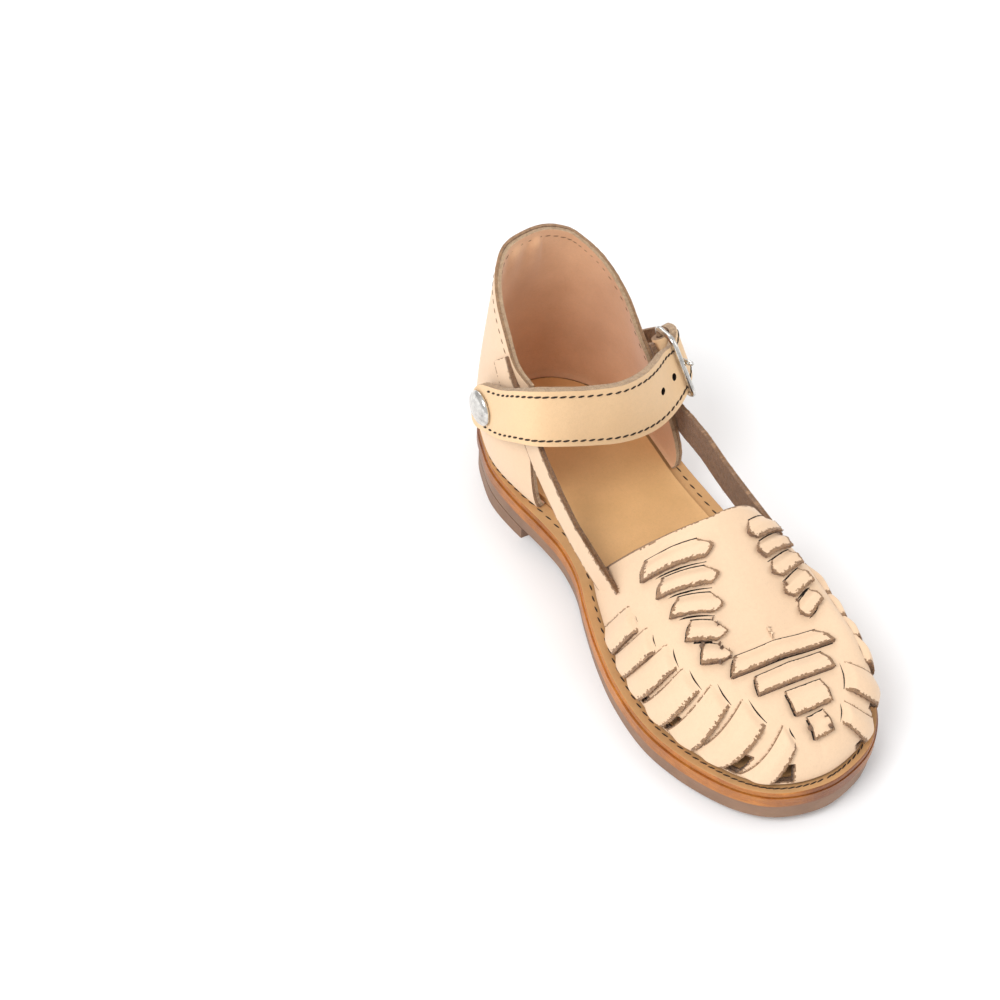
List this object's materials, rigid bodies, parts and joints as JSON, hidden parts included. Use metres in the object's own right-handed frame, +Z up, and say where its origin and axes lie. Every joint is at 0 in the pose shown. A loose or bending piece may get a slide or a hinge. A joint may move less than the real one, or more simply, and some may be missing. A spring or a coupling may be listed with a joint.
{
  "type": "huarache sandal",
  "caption": "Child's left leather sandal: woven vamp, side strips, high back, and an ankle strap with a snap and a buckle, on a stitched rubber sole.",
  "frame": {"origin": "centre of the bounding box, on the floor plane under the sole", "axes": "+Z up, -Y towards the toe, +X towards the lateral side (the buckle)"},
  "size_m": [0.069, 0.1752, 0.0833],
  "materials": {
    "outsole_rubber": "matt tan rubber",
    "midsole_leather": "waxed orange-tan leather edge",
    "welt_leather": "smooth natural leather",
    "insole_leather": "smooth natural leather, satin",
    "upper_leather": "natural cream leather, cut edges raw",
    "strap_leather": "natural cream leather, cut edges raw",
    "metal": "polished silver metal"
  },
  "bodies": {
    "root": {"outsole": "outsole_rubber", "heel_lift": "outsole_rubber", "midsole": "midsole_leather", "welt": "welt_leather", "insole": "insole_leather", "upper": "upper_leather", "ankle_strap": "strap_leather", "snap_cap": "metal", "buckle_frame": "metal", "buckle_prong": "metal", "buckle_tab": "strap_leather"}
  },
  "joints": []
}
